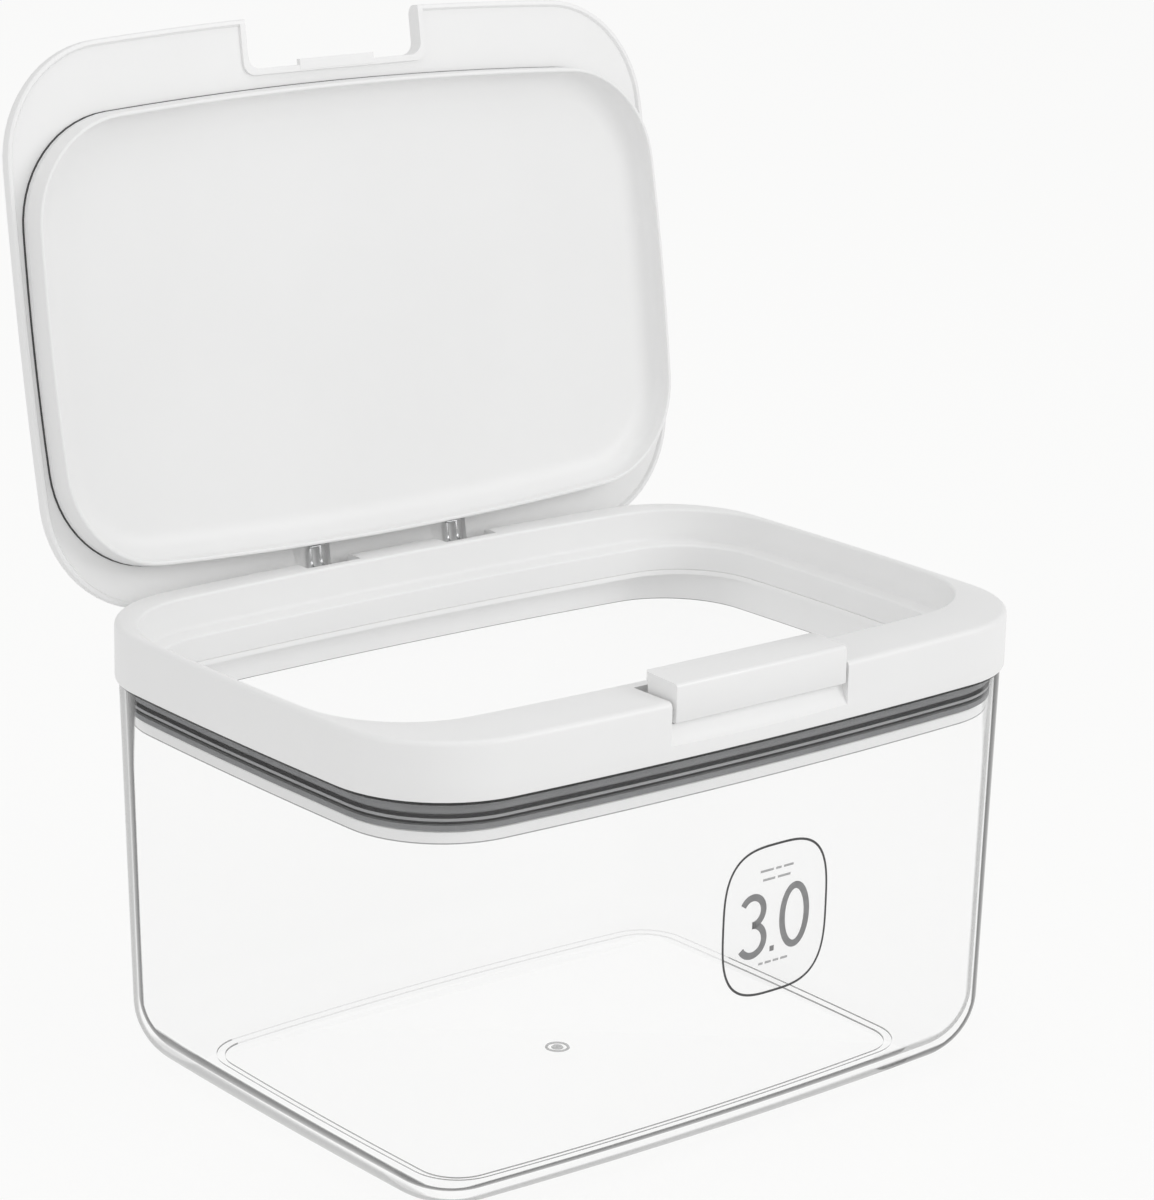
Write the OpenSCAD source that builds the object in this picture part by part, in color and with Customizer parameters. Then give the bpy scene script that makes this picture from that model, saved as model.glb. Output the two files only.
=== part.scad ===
// Clear storage box for laundry powder or pods, with a white collar that lifts off the box,
// a flip-up lid hinged at the back of the collar, and a rocking latch button at its front.
// Millimetres, +Z up, origin on the underside of the box at its middle. The front faces -Y.
// The lid is drawn open, as the joint's rest position.

/* [Outline seen from above] */
// width over the collar and the lid
body_w = 208; // [180:1:240]
// depth over the collar and the lid
body_d = 151; // [130:1:175]
// radius of the vertical corners
corner_r = 31; // [27:1:36]
// how far the long sides bow out beyond the corner arcs
bow_long = 2.2; // [1:0.1:3]
// how far the short sides bow out beyond the corner arcs
bow_short = 0.6; // [0.4:0.1:1.5]

/* [Clear box] */
// height from the table to the collar's rim
rim_z = 122.6; // [104:0.2:150]
// wall of the clear box
wall_t = 2.2; // [1.8:0.1:3]
// floor of the clear box
floor_t = 3; // [2.2:0.1:4]
// how much narrower the box is at its foot, on each short side
taper_x = 7.6; // [3:0.1:8]
// how much shallower the box is at its foot, on each long side
taper_y = 1; // [0.5:0.1:4]
// radius of the rounded bottom edge
foot_r = 17.5; // [10:0.5:18]
// radius of the vertical corners at the foot
foot_corner_r = 22; // [20:0.5:28]
// step from the collar's face back to the box
box_step = 1; // [0.6:0.1:2]
// size of the sunk panel in the floor
panel_size = [152.5, 108]; // [60:0.5:154]
// corner radius of the sunk panel
panel_r = 11; // [8:1:20]
// depth of the sunk panel
panel_sink = 0.8; // [0.4:0.1:1.2]
// radius of the moulding gate ring
gate_r = 3.4; // [2:0.1:5]

/* [Front label] */
// width and height of the label film
label_size = [34.9, 39.6]; // [20:0.1:50]
// corner radius of the label film
label_r = 14.5; // [8:0.5:17]
// middle of the label, right of centre and above the table
label_at = [7.9, 60]; // [-40:0.1:80]
// thickness of the label film
label_t = 0.2; // [0.1:0.05:0.4]

/* [Collar] */
// height of the collar's outer face
collar_h = 14.8; // [13:0.1:18]
// rim width at the front, the sides and the back
rim_front = 18; // [16:0.1:21]
rim_side = 2.4; // [2.3:0.1:4]
rim_back = 8.4; // [8:0.1:10]
// corner radius of the mouth
mouth_r = 29.2; // [26:0.1:32]
// depth of the ledge below the rim
ledge_down = 8.9; // [8.4:0.1:9.4]
// width of the ledge
ledge_w = 5.4; // [5.3:0.1:6]
// thickness of the collar's inner wall below the ledge
neck_t = 1.3; // [1:0.1:1.6]
// how far the inner wall reaches below the rim
neck_down = 16; // [15.8:0.1:17]
// rounding of the rim's outer edge
rim_round = 1.4; // [1:0.1:1.6]
// bevel of the rim's inner edge
mouth_bevel = 0.7; // [0.5:0.1:0.8]

/* [Skirt ring and gasket] */
// depth of the skirt's lower edge below the rim
skirt_down = 24.2; // [23:0.1:26]
// wall of the skirt
skirt_t = 1.3; // [1.1:0.1:1.5]
// height of the gasket
gasket_h = 6.2; // [5:0.1:6.6]
// height of each gasket lip
lip_rib = 1.3; // [1:0.1:1.5]

/* [Lid] */
// thickness of the lid's edge
lid_t = 4.5; // [4:0.1:6]
// width and height of the lip round the lid's underside
lid_lip = [1.6, 0.7]; // [0.5:0.1:2.5]
// depth of the plug below the lid's lip
plug_h = 7.2; // [6:0.1:7.6]
// depth of the dish in the plug
dish_h = 5; // [3:0.1:5.4]
// rim of the plug round the dish
plug_rim = 2.4; // [2:0.1:4]
// how much the plug narrows towards its edge, on every side
plug_draft = 1; // [0.8:0.1:1.4]
// angle the lid stands open
open_angle = 99.7; // [0:0.1:105]

/* [Hinges] */
// each hinge's distance from the middle
hinge_x = 22.9; // [18:0.1:40]
// axis in front of the collar's back
axis_in = 2.5; // [2.2:0.1:3]
// axis below the rim
axis_down = 4.8; // [4:0.1:5]
// window between the ears of a hinge
window_w = 11.8; // [11:0.1:15]
// front edge of the window in front of the lid's back edge
window_in = 11.2; // [10:0.1:11.4]
// radius of the ears and lugs
knuckle_r = 2.6; // [2.4:0.1:2.8]
// thickness of an ear
ear_t = 2.4; // [2:0.1:3]
// radius of the steel pin
pin_r = 1.2; // [1:0.05:1.4]
// radius of the spring wire
wire_r = 0.45; // [0.3:0.05:0.5]

/* [Latch button] */
// width of the button
button_w = 54.8; // [40:0.2:60]
// height of the button's front edge above the rim
button_rise = 4.3; // [3.8:0.1:4.5]
// how much the button's top climbs towards the back
button_slope = 0.5; // [0:0.1:0.6]
// height of the button's front face
button_h = 9.8; // [9:0.1:10]
// depth of the button's top from front to back
button_d = 12.8; // [12:0.1:13.4]
// height of the rocking axis above the button's lower edge
rock_up = 2.6; // [2:0.1:3]
// radius of the button's trunnions
trunnion_r = 1.2; // [1:0.05:1.4]
// length of the button's trunnions
trunnion_l = 1.9; // [1.6:0.1:2.4]
// radius of the button's back corners, seen from above
button_corner = 2.2; // [1:0.1:3]
// width and reach of the lid's catch tab
tab_size = [24, 1.6]; // [1:0.1:30]
// height of the scoop below the button
scoop_h = 5; // [3:0.1:7]

/* [Fits] */
// clearance of a running pin, on the radius
run_fit = 0.05; // [0.02:0.01:0.1]
// gap between parts that pass or rest near each other
gap = 0.3; // [0.2:0.05:0.5]
// gap between the plug and the mouth
plug_gap = 0.5; // [0.5:0.05:0.8]
// gap between the plug and the mouth at the back, where the lid swings
plug_back = 3; // [2.4:0.1:3.6]
// gap at each end of the button
end_gap = 1.1; // [0.8:0.1:1.4]
// gap beside the hinge ears
ear_gap = 0.8; // [0.5:0.1:1]

/* [Hidden] */
arc_fn = 96;
skin_fn = 40;
bow_fn = 480;
slice = 0.01;
meet = 0.02;
over = 1;
clear_tint = [0.86, 0.92, 0.95, 0.35];
white = [0.94, 0.94, 0.93];
grey = [0.25, 0.26, 0.27];
steel = [0.72, 0.73, 0.75];
collar_z = rim_z - collar_h;
front_y = -body_d / 2;
back_y = body_d / 2;
mouth_w = body_w - 2 * rim_side;
mouth_d = body_d - rim_front - rim_back;
mouth_y = (rim_front - rim_back) / 2;
ledge_z = rim_z - ledge_down;
neck_z = rim_z - neck_down;
skirt_z = rim_z - skirt_down;
hollow_z = ledge_z - 2;
inner_in = box_step + wall_t;
gasket_in = inner_in + 0.8;
skirt_in = gasket_in + 1;
lid_z = rim_z + gap;
margin_z = lid_z + lid_lip[1];
lid_top = lid_z + lid_t;
plug_z = lid_z - plug_h;
axis_y = back_y - axis_in;
axis_z = rim_z - axis_down;
slot_half = window_w / 2 + ear_t + ear_gap;
slot_front = axis_y - knuckle_r - 1;
button_top = rim_z + button_rise;
button_z = button_top - button_h;
button_back = front_y + button_d;
rock_y = front_y + 6.5;
rock_z = button_z + rock_up;
well_half = button_w / 2 + end_gap;
well_z = button_z - gap * 3;
notch_back = button_back + gap * 2;
hook_z = margin_z + 1.3;
hook_in = 1.9;
notch_r = button_corner + 1.2;
window_y = back_y - window_in;
dish_in = plug_draft + plug_rim;
seal_in = 1.1;

// Flat outline with bowed sides: four wide arcs, and a corner arc between each pair. The corner arcs
// stand a hair proud of the tangent, so that they cross the wide ones cleanly.
module outline(w, d, r, inset, fn) {
  cx = w / 2 - r - bow_short;
  cy = d / 2 - r - bow_long;
  rl = (cx * cx + pow(r + bow_long, 2) - r * r) / (2 * bow_long);
  rs = (cy * cy + pow(r + bow_short, 2) - r * r) / (2 * bow_short);
  reach = r + bow_long + over;
  lx = cx + reach * cx / (rl - r);
  ly = cy + reach * (cy - d / 2 + rl) / (rl - r);
  sx = cx + reach * (cx - w / 2 + rs) / (rs - r);
  sy = cy + reach * cy / (rs - r);
  difference() {
    intersection() {
      translate([0, d / 2 - rl])
        circle(r = rl - inset, $fn = bow_fn);
      translate([0, rl - d / 2])
        circle(r = rl - inset, $fn = bow_fn);
      translate([w / 2 - rs, 0])
        circle(r = rs - inset, $fn = bow_fn);
      translate([rs - w / 2, 0])
        circle(r = rs - inset, $fn = bow_fn);
    }
    for (i = [-1, 1], j = [-1, 1])
      difference() {
        polygon([[i * cx, j * cy], [i * lx, j * ly], [i * w, j * ly], [i * w, j * sy], [i * sx, j * sy]]);
        translate([i * cx, j * cy])
          circle(r = r + meet - inset, $fn = fn);
      }
  }
}

module shell_shape(inset, fn = arc_fn) {
  outline(body_w, body_d, corner_r, inset, fn);
}

module mouth_shape(inset, fn = arc_fn) {
  translate([0, mouth_y])
    outline(mouth_w, mouth_d, mouth_r, inset, fn);
}

// The plug's outline follows the mouth, but stands further from it at the back.
module plug_shape(inset, fn = arc_fn) {
  translate([0, mouth_y + (plug_gap - plug_back) / 2])
    outline(mouth_w - 2 * plug_gap, mouth_d - plug_gap - plug_back, mouth_r - plug_gap, inset, fn);
}

module slab(z0, z1) {
  translate([0, 0, z0])
    linear_extrude(z1 - z0)
      children();
}

module rounded_plate(size, r, z0, z1) {
  slab(z0, z1) {
    square([size[0] - 2 * r, size[1]], center = true);
    square([size[0], size[1] - 2 * r], center = true);
    for (i = [-1, 1], j = [-1, 1])
      translate([i * (size[0] / 2 - r), j * (size[1] / 2 - r)])
        circle(r = r, $fn = arc_fn);
  }
}

// Solid with the box's taper and rounded foot, grown or shrunk, from a chosen height upwards.
module box_mass(inset, z0, r, z1) {
  hull() {
    for (a = [0 : 22.5 : 90]) {
      z = z0 + r * (1 - cos(a));
      low = 1 - z / collar_z;
      slab(z, z + slice)
        outline(body_w - 2 * (box_step + inset + low * taper_x + r * (1 - sin(a))),
          body_d - 2 * (box_step + inset + low * taper_y + r * (1 - sin(a))),
          foot_corner_r - inset - r * (1 - sin(a)), 0, skin_fn);
    }
    slab(z1 - slice, z1)
      outline(body_w - 2 * (box_step + inset), body_d - 2 * (box_step + inset),
        corner_r - box_step - inset, 0, skin_fn);
  }
}

module clear_box() {
  color(clear_tint)
    difference() {
      box_mass(0, 0, foot_r, collar_z);
      box_mass(wall_t, floor_t, foot_r - wall_t, collar_z + over);
      rounded_plate(panel_size, panel_r, floor_t - panel_sink, floor_t + over);
      translate([0, 0, floor_t - panel_sink - 0.4])
        difference() {
          cylinder(r = gate_r, h = over, $fn = arc_fn);
          cylinder(r = gate_r * 0.4, h = over, $fn = arc_fn);
        }
    }
}

module front_label() {
  color(clear_tint)
    difference() {
      intersection() {
        box_mass(-label_t, 0, foot_r, collar_z);
        translate([label_at[0], 0, label_at[1]])
          rotate([90, 0, 0])
            rounded_plate(label_size, label_r, 0, body_d);
      }
      box_mass(0, 0, foot_r, collar_z);
    }
}

module collar() {
  color(white) {
    difference() {
      union() {
        hull() {
          slab(collar_z, collar_z + slice)
            shell_shape(gap, skin_fn);
          slab(collar_z + gap, rim_z - rim_round)
            shell_shape(0, skin_fn);
          slab(rim_z - rim_round * 0.7, rim_z - rim_round * 0.7 + slice)
            shell_shape(rim_round * 0.05, skin_fn);
          slab(rim_z - rim_round * 0.3, rim_z - rim_round * 0.3 + slice)
            shell_shape(rim_round * 0.3, skin_fn);
          slab(rim_z - slice, rim_z)
            shell_shape(rim_round, skin_fn);
        }
        slab(neck_z, collar_z + over)
          mouth_shape(ledge_w - neck_t);
      }
      slab(ledge_z, rim_z + over)
        mouth_shape(0);
      hull() {
        slab(rim_z - mouth_bevel, rim_z)
          mouth_shape(0, skin_fn);
        slab(rim_z + over - slice, rim_z + over)
          mouth_shape(-mouth_bevel - over, skin_fn);
      }
      slab(neck_z - over, ledge_z + over)
        mouth_shape(ledge_w);
      slab(collar_z - over, hollow_z)
        difference() {
          shell_shape(wall_t + box_step);
          mouth_shape(ledge_w - neck_t - 0.7);
        }
      button_well();
      for (i = [-1, 1])
        translate([i * hinge_x - slot_half, slot_front, ledge_z])
          cube([2 * slot_half, body_d, collar_h]);
    }
    for (i = [-1, 1])
      collar_lug(i * hinge_x);
  }
}

// Room for the button: the well, the holes for its trunnions and the finger scoop below it.
module button_well() {
  translate([-well_half, front_y - over, well_z])
    cube([2 * well_half, button_d + over + 2, collar_h]);
  translate([-well_half - trunnion_l, rock_y, rock_z])
    rotate([0, 90, 0])
      cylinder(r = trunnion_r + run_fit, h = 2 * (well_half + trunnion_l), $fn = arc_fn);
  translate([-well_half, 0, well_z])
    rotate([90, 0, 90])
      linear_extrude(2 * well_half)
        polygon([[front_y - over, over], [front_y + 2.6, over], [front_y + 2.6, 0],
          [front_y, -scoop_h], [front_y - over, -scoop_h]]);
}

module collar_lug(x) {
  lug_w = window_w / 2 - 4 * gap;
  translate([x - window_w / 2 + gap, axis_y, axis_z])
    rotate([90, 0, 90])
      linear_extrude(lug_w)
        difference() {
          union() {
            circle(r = knuckle_r, $fn = arc_fn);
            translate([-knuckle_r, ledge_z - axis_z - over])
              square([knuckle_r + axis_in - gap, axis_z - ledge_z + over]);
          }
          circle(r = pin_r, $fn = arc_fn);
        }
}

module skirt_ring() {
  color(white)
    difference() {
      union() {
        slab(skirt_z, collar_z - gap)
          shell_shape(skirt_in);
        slab(skirt_z, collar_z - gasket_h - gap)
          shell_shape(gasket_in + 0.2);
      }
      slab(skirt_z - over, neck_z - skirt_t)
        shell_shape(skirt_in + skirt_t);
      slab(neck_z, collar_z + over)
        shell_shape(skirt_in + skirt_t);
      slab(skirt_z - over, collar_z + over)
        mouth_shape(ledge_w);
    }
}

module box_gasket() {
  top = collar_z - gap;
  step = (gasket_h - lip_rib) / 2;
  color(grey)
    difference() {
      union() {
        slab(top - gasket_h, top)
          shell_shape(gasket_in + 0.5);
        for (k = [0 : 2])
          slab(top - gasket_h + k * step, top - gasket_h + k * step + lip_rib)
            shell_shape(gasket_in);
      }
      slab(top - gasket_h - over, top + over)
        shell_shape(skirt_in);
    }
}

// Everything on the lid is drawn closed and turned open about the hinge axis.
module on_lid() {
  translate([0, axis_y, axis_z])
    rotate([-open_angle, 0, 0])
      translate([0, -axis_y, -axis_z])
        children();
}

module notch_shape(grow) {
  half = well_half - 0.4 + grow;
  translate([-half, front_y - 2 * over])
    square([2 * half, notch_back + grow - notch_r - front_y + 2 * over]);
  translate([notch_r - half, front_y - 2 * over])
    square([2 * (half - notch_r), notch_back + grow - front_y + 2 * over]);
  for (i = [-1, 1])
    translate([i * (half - notch_r), notch_back + grow - notch_r])
      circle(r = notch_r, $fn = arc_fn);
}

module lid_cover() {
  color(white)
    on_lid() {
      difference() {
        hull() {
          slab(lid_z, lid_z + slice)
            shell_shape(gap, skin_fn);
          slab(lid_z + gap, lid_top - 2)
            shell_shape(0, skin_fn);
          slab(lid_top - 1.2, lid_top - 1.2 + slice)
            shell_shape(0.35, skin_fn);
          slab(lid_top - 0.5, lid_top - 0.5 + slice)
            shell_shape(1.1, skin_fn);
          slab(lid_top - slice, lid_top)
            shell_shape(3, skin_fn);
        }
        slab(lid_z - over, margin_z)
          difference() {
            shell_shape(lid_lip[0]);
            notch_shape(lid_lip[0]);
          }
        slab(margin_z - over, lid_top - 1.8)
          plug_shape(plug_rim);
        slab(lid_z - over, lid_top + over)
          notch_shape(0);
        for (i = [-1, 1])
          translate([i * hinge_x - window_w / 2, window_y, lid_z - over])
            cube([window_w, back_y + over - window_y, over + 2.6]);
      }
      translate([-tab_size[0] / 2, notch_back - tab_size[1], lid_z])
        cube([tab_size[0], tab_size[1] + lid_lip[0], hook_z - gap * 2 - lid_z]);
      for (i = [-1, 1], j = [-1, 1])
        lid_ear(i * hinge_x + j * (window_w + ear_t) / 2);
    }
}

module lid_ear(x) {
  translate([x - ear_t / 2, axis_y, axis_z])
    rotate([90, 0, 90])
      linear_extrude(ear_t)
        difference() {
          union() {
            circle(r = knuckle_r, $fn = arc_fn);
            translate([-knuckle_r, 0])
              square([knuckle_r + axis_in - gap, margin_z - axis_z + gap]);
          }
          circle(r = pin_r + run_fit, $fn = arc_fn);
        }
}

module lid_liner() {
  color(white)
    on_lid()
      difference() {
        hull() {
          slab(margin_z - slice, margin_z)
            plug_shape(0, skin_fn);
          slab(plug_z + 1.8, plug_z + 1.8 + slice)
            plug_shape(plug_draft, skin_fn);
          slab(plug_z + 0.8, plug_z + 0.8 + slice)
            plug_shape(plug_draft + 0.3, skin_fn);
          slab(plug_z + 0.2, plug_z + 0.2 + slice)
            plug_shape(plug_draft + 0.9, skin_fn);
          slab(plug_z, plug_z + slice)
            plug_shape(plug_draft + 1.6, skin_fn);
        }
        hull() {
          slab(plug_z - over, plug_z + dish_h * 0.35)
            plug_shape(dish_in, skin_fn);
          slab(plug_z + dish_h * 0.7, plug_z + dish_h * 0.7 + slice)
            plug_shape(dish_in + 0.8, skin_fn);
          slab(plug_z + dish_h * 0.92, plug_z + dish_h * 0.92 + slice)
            plug_shape(dish_in + 2.4, skin_fn);
          slab(plug_z + dish_h - slice, plug_z + dish_h)
            plug_shape(dish_in + 5, skin_fn);
        }
        seal_groove();
      }
}

module seal_groove() {
  slab(margin_z - 2, margin_z - 0.8)
    difference() {
      plug_shape(-over);
      plug_shape(seal_in);
    }
}

module lid_seal() {
  color(grey)
    on_lid()
      difference() {
        slab(margin_z - 2, margin_z - 0.8)
          plug_shape(gap - plug_gap);
        slab(margin_z - 2 - over, margin_z - 0.8 + over)
          plug_shape(seal_in);
      }
}

module latch_button() {
  low = button_z - rock_z;
  high = button_top - rock_z;
  peak = high + button_slope;
  front = front_y + 0.1 - rock_y;
  back = button_back - rock_y;
  under = hook_z - rock_z;
  color(white) {
    intersection() {
      slab(button_z - over, button_top + over)
        button_plan();
      translate([-button_w, rock_y, rock_z])
        rotate([90, 0, 90])
          linear_extrude(2 * button_w)
            polygon([[front, low], [front, high - 0.9], [front + 0.3, high - 0.3], [front + 0.9, high],
              [back - 0.6, peak], [back, peak - 0.6], [back, under], [back - hook_in, under],
              [back - hook_in, -1], [back - hook_in - 2, low]]);
    }
    translate([-button_w / 2 - end_gap - trunnion_l + gap, rock_y, rock_z])
      rotate([0, 90, 0])
        cylinder(r = trunnion_r, h = button_w + 2 * (end_gap + trunnion_l - gap), $fn = arc_fn);
  }
}

module button_plan() {
  translate([-button_w / 2, front_y])
    square([button_w, button_d - button_corner]);
  translate([button_corner - button_w / 2, front_y])
    square([button_w - 2 * button_corner, button_d]);
  for (i = [-1, 1])
    translate([i * (button_w / 2 - button_corner), button_back - button_corner])
      circle(r = button_corner, $fn = arc_fn);
}

module hinge_pin(x) {
  length = window_w + 2 * ear_t;
  color(steel)
    translate([x - length / 2, axis_y, axis_z])
      rotate([0, 90, 0])
        cylinder(r = pin_r, h = length, $fn = arc_fn);
}

// Torsion spring: a close coil round the pin, and two legs joined by a bow that lifts the lid.
module hinge_spring(x) {
  coil_r = pin_r + 2 * wire_r + 0.15;
  pitch = 1.8 * wire_r;
  leg_r = wire_r * 0.97;
  tip_y = window_y + 2 * wire_r - axis_y;
  tip_z = margin_z + 0.9 - axis_z;
  color(steel)
    on_lid()
      translate([x + gap / 2, axis_y, axis_z]) {
        rotate([0, 90, 0])
          rotate_extrude($fn = arc_fn)
            for (k = [0 : 4])
              translate([coil_r, k * pitch])
                circle(r = wire_r, $fn = 24);
        for (k = [0, 4])
          translate([k * pitch, -coil_r, 0])
            cylinder(r = leg_r, h = tip_z, $fn = 24);
        for (k = [0, 4])
          translate([k * pitch, tip_y, tip_z])
            rotate([-90, 0, 0])
              cylinder(r = leg_r, h = -tip_y - coil_r + leg_r, $fn = 24);
        translate([-leg_r, tip_y, tip_z])
          rotate([0, 90, 0])
            cylinder(r = leg_r, h = 4 * pitch + 2 * leg_r, $fn = 24);
      }
}

module hinge_pin_left() {
  hinge_pin(-hinge_x);
}

module hinge_pin_right() {
  hinge_pin(hinge_x);
}

module hinge_spring_left() {
  hinge_spring(-hinge_x);
}

module hinge_spring_right() {
  hinge_spring(hinge_x);
}

clear_box();
front_label();
collar();
skirt_ring();
box_gasket();
lid_cover();
lid_liner();
lid_seal();
latch_button();
hinge_pin_left();
hinge_pin_right();
hinge_spring_left();
hinge_spring_right();
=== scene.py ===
# %% [markdown]
# # A clear storage box with a flip-up lid
# The part is already built as exact solids. This lesson loads them as a fixed frame and
# dresses them: smooth walls, soft edges, clear plastic, satin white plastic, rubber and
# steel. All sizes are in metres, in the same frame as the solids. The box stands on z = 0
# and its front looks along -Y.

# %% Load the solids and the tools
import math
import bmesh
import bpy
from mathutils import Matrix, Vector


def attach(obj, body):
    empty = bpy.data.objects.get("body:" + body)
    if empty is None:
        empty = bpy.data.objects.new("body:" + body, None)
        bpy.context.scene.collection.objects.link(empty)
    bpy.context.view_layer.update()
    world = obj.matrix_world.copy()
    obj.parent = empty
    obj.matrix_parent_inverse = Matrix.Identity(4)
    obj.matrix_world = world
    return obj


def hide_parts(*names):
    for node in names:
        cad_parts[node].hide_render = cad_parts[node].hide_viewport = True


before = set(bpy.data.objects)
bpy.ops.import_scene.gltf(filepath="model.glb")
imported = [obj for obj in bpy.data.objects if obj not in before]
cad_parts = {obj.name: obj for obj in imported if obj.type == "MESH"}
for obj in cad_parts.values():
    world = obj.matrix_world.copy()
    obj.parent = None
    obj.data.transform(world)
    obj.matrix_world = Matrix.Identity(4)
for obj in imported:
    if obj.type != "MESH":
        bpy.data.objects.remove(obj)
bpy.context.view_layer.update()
MM = 0.001

# %% [markdown]
# ## The camera
# A photograph taken with a long lens from about a metre away has nearly parallel edges.
# The place and the lens below were found by matching the corners of the rim, the foot and
# the open lid, so the render can be laid over the photograph.

# %% The camera
azimuth, elevation, roll = math.radians(-39.5), math.radians(16.2), math.radians(1.24)
back = Vector((math.sin(azimuth) * math.cos(elevation), -math.cos(azimuth) * math.cos(elevation),
               math.sin(elevation)))
side = (-back).cross(Vector((0, 0, 1))).normalized()
up = side.cross(-back)
side, up = (side * math.cos(roll) + up * math.sin(roll), up * math.cos(roll) - side * math.sin(roll))
camera = bpy.data.objects.new("camera", bpy.data.cameras.new("camera"))
camera.data.sensor_width = 36
camera.data.lens = 36 * 3891.6 / 1200
camera.data.clip_start = 0.05
place = Matrix((side, up, back)).transposed().to_4x4()
place.translation = Vector((0.0002, -0.0039, 0.1261)) + back * 0.9903
camera.matrix_world = place
bpy.context.scene.collection.objects.link(camera)
bpy.context.scene.camera = camera
print("lens", round(camera.data.lens, 1), "mm at", [round(v, 3) for v in place.translation])

# %% [markdown]
# ## Sizes of the box
# The same few sizes shape every piece. They could be read off the solids each time, but a
# short table is easier to follow.

# %% Sizes in millimetres
BODY_W, BODY_D, CORNER = 208.0, 151.0, 31.0
BOW_LONG, BOW_SHORT = 2.2, 0.6
RIM_Z, COLLAR_H = 122.6, 14.8
COLLAR_Z = RIM_Z - COLLAR_H
RIM_FRONT, RIM_SIDE, RIM_BACK = 18.0, 2.4, 8.4
MOUTH_W, MOUTH_D, MOUTH_R = BODY_W - 2 * RIM_SIDE, BODY_D - RIM_FRONT - RIM_BACK, 29.2
MOUTH_Y = (RIM_FRONT - RIM_BACK) / 2
PLUG_GAP, PLUG_BACK = 0.5, 3.0
AXIS_Y, AXIS_Z, OPEN = BODY_D / 2 - 2.5, RIM_Z - 4.8, 99.7
print("mouth", MOUTH_W, "by", MOUTH_D, "mm")

# %% [markdown]
# ## One outline for every ring
# Seen from above, the box is a rectangle with round corners whose sides bow out a little.
# It could be a bevelled rectangle, but then the sides would be straight and look stamped.
# Here each side is a wide arc and each corner a small one, and the points of any two
# outlines pair up one to one, so any two rings can be skinned with clean quads.

# %% Outline points
def outline(w, d, r, inset=0.0, y=0.0, corner=14, long=12, short=8):
    cx, cy = w / 2 - r - BOW_SHORT, d / 2 - r - BOW_LONG
    rl = (cx * cx + (r + BOW_LONG) ** 2 - r * r) / (2 * BOW_LONG)
    rs = (cy * cy + (r + BOW_SHORT) ** 2 - r * r) / (2 * BOW_SHORT)
    a_long = math.atan2(cy - d / 2 + rl, cx)
    a_short = math.atan2(cy, cx - w / 2 + rs)
    arcs = []
    for turn in range(4):
        flip = turn % 2
        start, end = (a_short, a_long) if not flip else (math.pi - a_long, math.pi - a_short)
        sx = 1 if turn in (0, 3) else -1
        sy = 1 if turn in (0, 1) else -1
        if sy < 0:
            start, end = (-(math.pi - a_short), -(math.pi - a_long)) if sx < 0 else (-a_long, -a_short)
        arcs.append((sx * cx, sy * cy, r - inset, start, end, corner))
        if turn == 0:
            arcs.append((0, d / 2 - rl, rl - inset, a_long, math.pi - a_long, long))
        elif turn == 1:
            arcs.append((rs - w / 2, 0, rs - inset, math.pi - a_short, math.pi + a_short, short))
        elif turn == 2:
            arcs.append((0, rl - d / 2, rl - inset, -(math.pi - a_long), -a_long, long))
        else:
            arcs.append((w / 2 - rs, 0, rs - inset, -a_short, a_short, short))
    points = []
    for ax, ay, ar, start, end, steps in arcs:
        for k in range(steps):
            a = start + (end - start) * k / steps
            points.append((ax + ar * math.cos(a), ay + ar * math.sin(a) + y))
    return points


def shell(inset=0.0):
    return outline(BODY_W, BODY_D, CORNER, inset)


def mouth(inset=0.0):
    return outline(MOUTH_W, MOUTH_D, MOUTH_R, inset, MOUTH_Y)


def plug(inset=0.0):
    return outline(MOUTH_W - 2 * PLUG_GAP, MOUTH_D - PLUG_GAP - PLUG_BACK, MOUTH_R - PLUG_GAP, inset,
                   MOUTH_Y + (PLUG_GAP - PLUG_BACK) / 2)


print("points in a ring:", len(shell()))

# %% [markdown]
# ## From rings to a mesh
# A ring of the collar is a cross-section swept round the outline. The section is a list of
# (outline, height) pairs. Closing the list makes a ring; capping its ends makes a tub or a
# plate. This keeps every wall in quads, so it shades smoothly without a modifier.

# %% Skin a stack of rings
def turned_open(v):
    a = math.radians(OPEN)
    y, z = v.y - AXIS_Y * MM, v.z - AXIS_Z * MM
    return Vector((v.x, AXIS_Y * MM + y * math.cos(a) + z * math.sin(a),
                   AXIS_Z * MM + z * math.cos(a) - y * math.sin(a)))


def finish_mesh(name, bm, sharp=35.0, on_lid=False):
    if on_lid:
        for v in bm.verts:
            v.co = turned_open(v.co)
    bmesh.ops.remove_doubles(bm, verts=bm.verts, dist=1e-7)
    bmesh.ops.recalc_face_normals(bm, faces=bm.faces)
    for f in bm.faces:
        f.smooth = True
    for e in bm.edges:
        e.smooth = not (len(e.link_faces) == 2 and e.calc_face_angle(0) > math.radians(sharp))
    mesh = bpy.data.meshes.new(name)
    bm.to_mesh(mesh)
    bm.free()
    obj = bpy.data.objects.new(name, mesh)
    bpy.context.scene.collection.objects.link(obj)
    return obj


def add_rings(bm, section, closed=True):
    rows = [[bm.verts.new((x * MM, y * MM, z * MM)) for x, y in ring] for ring, z in section]
    count = len(rows[0])
    last = len(rows) if closed else len(rows) - 1
    for i in range(last):
        a, b = rows[i], rows[(i + 1) % len(rows)]
        for k in range(count):
            bm.faces.new((a[k], a[(k + 1) % count], b[(k + 1) % count], b[k]))
    if not closed:
        bm.faces.new(rows[0])
        bm.faces.new(rows[-1])


def swept(name, section, closed=True, on_lid=False, sharp=35.0):
    bm = bmesh.new()
    add_rings(bm, section, closed)
    return finish_mesh(name, bm, sharp, on_lid)


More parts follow.
